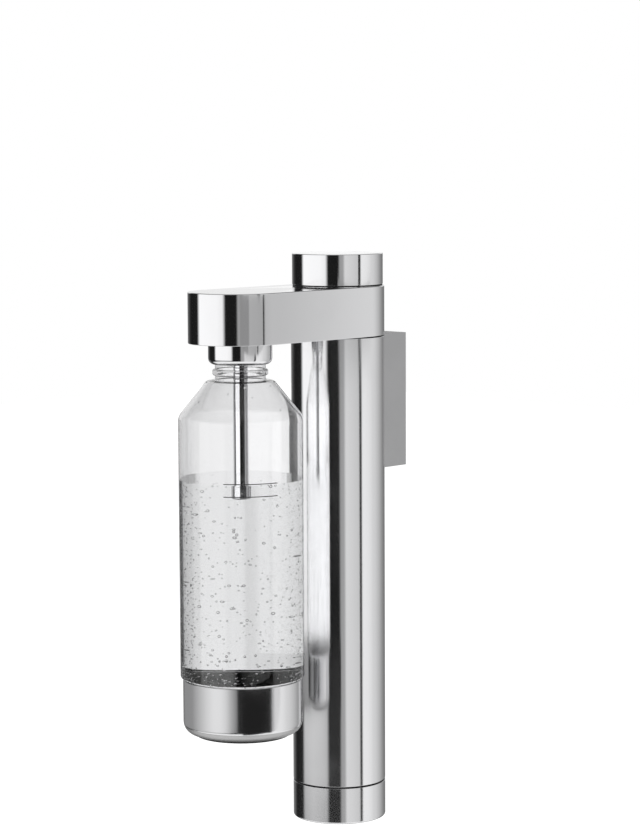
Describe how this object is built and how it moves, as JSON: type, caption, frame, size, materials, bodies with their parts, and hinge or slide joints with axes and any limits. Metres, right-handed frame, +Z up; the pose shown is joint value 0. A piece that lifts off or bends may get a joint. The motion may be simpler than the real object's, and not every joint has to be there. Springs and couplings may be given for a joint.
{
  "type": "sparkling water maker",
  "caption": "Wall-hung sparkling water maker: a polished column holding a gas cylinder, an arm with a nozzle, a press button on top and a clear bottle that unscrews.",
  "frame": {"origin": "middle of the bracket's back, on the wall plate's back face, where the part meets the wall", "axes": "+Y into the wall, +Z up along the column, +X to the right when facing the wall"},
  "size_m": [0.088, 0.195, 0.415],
  "materials": {
    "polished_steel": "mirror-polished stainless steel",
    "satin_metal": "satin grey metal",
    "zinc_steel": "zinc-plated steel",
    "brass": "machined brass",
    "rubber": "black rubber",
    "dark_plastic": "dark moulded plastic",
    "cylinder_aluminium": "lacquered aluminium",
    "clear_plastic": "clear plastic"
  },
  "bodies": {
    "stand": {"wall_plate": "zinc_steel", "wall_bracket": "satin_metal", "lock_screw": "zinc_steel", "bracket_screws": "zinc_steel", "column_tube": "polished_steel", "arm_shell": "polished_steel", "arm_floor": "satin_metal", "arm_gasket": "rubber", "shell_screws": "zinc_steel", "floor_screws": "zinc_steel", "valve_block": "brass", "cylinder_gasket": "rubber", "stem_bush": "brass", "stem_seal": "rubber", "button_spring": "zinc_steel", "gas_pipe": "brass", "pipe_nuts": "brass", "nozzle_block": "brass", "relief_body": "brass", "relief_spring": "zinc_steel", "relief_cap": "brass", "collar": "polished_steel", "neck_socket": "dark_plastic", "neck_seal": "rubber", "nozzle_tube": "polished_steel", "nozzle_tip": "polished_steel"},
    "button": {"top_button": "polished_steel", "button_ring": "rubber", "button_stem": "zinc_steel"},
    "poppet": {"relief_poppet": "dark_plastic"},
    "gas_supply": {"gas_cylinder": "cylinder_aluminium", "cylinder_valve": "brass"},
    "pin": {"valve_pin": "zinc_steel"},
    "foot_cap": {"bottom_cap": "polished_steel", "cap_ring": "rubber", "cap_gasket": "rubber", "cylinder_pad": "rubber"},
    "bottle_body": {"bottle": "clear_plastic", "base_cup": "polished_steel", "foot_ring": "rubber"}
  },
  "joints": [
    {"name": "button_press", "type": "slide", "parent": "stand", "child": "button", "axis": [0, 0, -1], "range_m": [0, 0.004], "stiffness_N_per_m": 2000, "springref_m": -0.006, "deforming": ["button_spring"]},
    {"name": "relief_lift", "type": "slide", "parent": "stand", "child": "poppet", "axis": [0, 0, 1], "range_m": [0, 0.0012], "stiffness_N_per_m": 200, "springref_m": -0.001, "deforming": ["relief_spring"]},
    {"name": "cylinder_removal", "type": "slide", "parent": "stand", "child": "gas_supply", "axis": [0, 0, -1], "range_m": [0, 0.345]},
    {"name": "cap_removal", "type": "slide", "parent": "stand", "child": "foot_cap", "axis": [0, 0, -1], "range_m": [0, 0.397]},
    {"name": "pin_press", "type": "slide", "parent": "gas_supply", "child": "pin", "axis": [0, 0, -1], "range_m": [0, 0.004]},
    {"name": "bottle_removal", "type": "slide", "parent": "stand", "child": "bottle_body", "axis": [0, 0, -1], "range_m": [0, 0.115]}
  ],
  "couplings": [
    {"joint": "cap_removal", "follows": "cylinder_removal", "ratio": 1.15},
    {"joint": "pin_press", "follows": "button_press", "ratio": 1}
  ]
}
